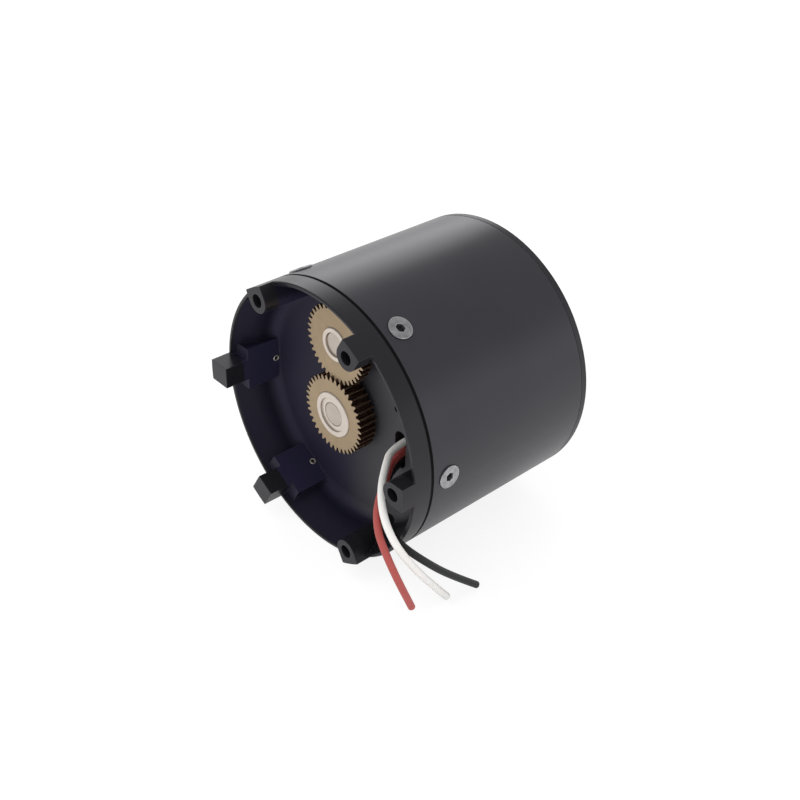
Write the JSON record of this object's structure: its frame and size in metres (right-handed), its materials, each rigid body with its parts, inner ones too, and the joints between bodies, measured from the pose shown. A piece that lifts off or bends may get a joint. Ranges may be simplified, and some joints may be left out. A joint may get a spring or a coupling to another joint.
{
  "type": "robot joint actuator",
  "caption": "Cylindrical robot joint actuator: motor and planetary reduction in a tube, output flange in front, encoder gears in an open rear bay, three bare leads.",
  "frame": {"origin": "centre of the front mounting face, on the motor's axis", "axes": "+X along the motor's axis from the front mounting face to the open rear bay; +Z from the motor's axis to the axle of the second encoder gear; the leads leave towards +Y"},
  "size_m": [0.0644, 0.0741, 0.068],
  "materials": {
    "anodised_tube": "black satin anodised, turned",
    "anodised_housing": "black anodised, milled",
    "machined_aluminium": "plain machined",
    "zinc_screw": "dull plated",
    "bearing_steel": "ground",
    "gear_steel": "hobbed",
    "bush_bronze": "sintered",
    "lamination_steel": "laminated",
    "enamelled_copper": "enamelled wire",
    "encoder_brass": "milled, dull",
    "bright_holder": "turned, bright",
    "nickel_magnet": "nickel plated",
    "silicone_red": "silicone sleeve",
    "silicone_white": "silicone sleeve",
    "silicone_black": "silicone sleeve"
  },
  "bodies": {
    "housing": {"motor_tube": "anodised_tube", "front_housing": "anodised_housing", "rear_housing": "anodised_housing", "motor_plate": "machined_aluminium", "side_screws": "zinc_screw", "front_screws": "zinc_screw", "bearing_snap_ring": "bearing_steel", "output_bearing_outer": "bearing_steel", "ring_gear": "gear_steel", "front_rotor_bearing_outer": "bearing_steel", "rear_rotor_bearing_outer": "bearing_steel", "stator_core": "lamination_steel", "stator_windings": "enamelled_copper", "count_axle": "gear_steel", "lead_red": "silicone_red", "lead_white": "silicone_white", "lead_black": "silicone_black"},
    "output": {"output_flange": "anodised_housing", "output_bearing_inner": "bearing_steel", "carrier_plate": "machined_aluminium", "carrier_screws": "zinc_screw", "planet_pins": "gear_steel"},
    "rotor": {"rotor_shaft": "gear_steel", "rotor_hub": "machined_aluminium", "rotor_magnets": "nickel_magnet", "sun_pinion": "gear_steel", "front_rotor_bearing_inner": "bearing_steel", "rear_rotor_bearing_inner": "bearing_steel", "drive_gear": "encoder_brass", "drive_gear_holder": "bright_holder", "drive_magnet": "nickel_magnet"},
    "planet_1": {"planet_gear_1": "gear_steel", "planet_bush_1": "bush_bronze"},
    "planet_2": {"planet_gear_2": "gear_steel", "planet_bush_2": "bush_bronze"},
    "planet_3": {"planet_gear_3": "gear_steel", "planet_bush_3": "bush_bronze"},
    "count_gear_set": {"count_gear": "encoder_brass", "count_gear_holder": "bright_holder", "count_magnet": "nickel_magnet", "count_bush": "bush_bronze"}
  },
  "joints": [
    {"name": "output_spin", "type": "hinge", "parent": "housing", "child": "output", "pos_m": [0, 0, 0], "axis": [1, 0, 0], "continuous": true},
    {"name": "rotor_spin", "type": "hinge", "parent": "housing", "child": "rotor", "pos_m": [0, 0, 0], "axis": [1, 0, 0], "continuous": true},
    {"name": "planet_1_spin", "type": "hinge", "parent": "output", "child": "planet_1", "pos_m": [0.0167, 0.01125, 0], "axis": [1, 0, 0], "continuous": true},
    {"name": "planet_2_spin", "type": "hinge", "parent": "output", "child": "planet_2", "pos_m": [0.0167, -0.00562, 0.00974], "axis": [1, 0, 0], "continuous": true},
    {"name": "planet_3_spin", "type": "hinge", "parent": "output", "child": "planet_3", "pos_m": [0.0167, -0.00562, -0.00974], "axis": [1, 0, 0], "continuous": true},
    {"name": "count_gear_spin", "type": "hinge", "parent": "housing", "child": "count_gear_set", "pos_m": [0.0486, 0, 0.01875], "axis": [1, 0, 0], "continuous": true}
  ],
  "couplings": [
    {"joint": "rotor_spin", "follows": "output_spin", "ratio": 5},
    {"joint": "planet_1_spin", "follows": "output_spin", "ratio": -2.6667},
    {"joint": "planet_2_spin", "follows": "output_spin", "ratio": -2.6667},
    {"joint": "planet_3_spin", "follows": "output_spin", "ratio": -2.6667},
    {"joint": "count_gear_spin", "follows": "output_spin", "ratio": -5.1351}
  ]
}
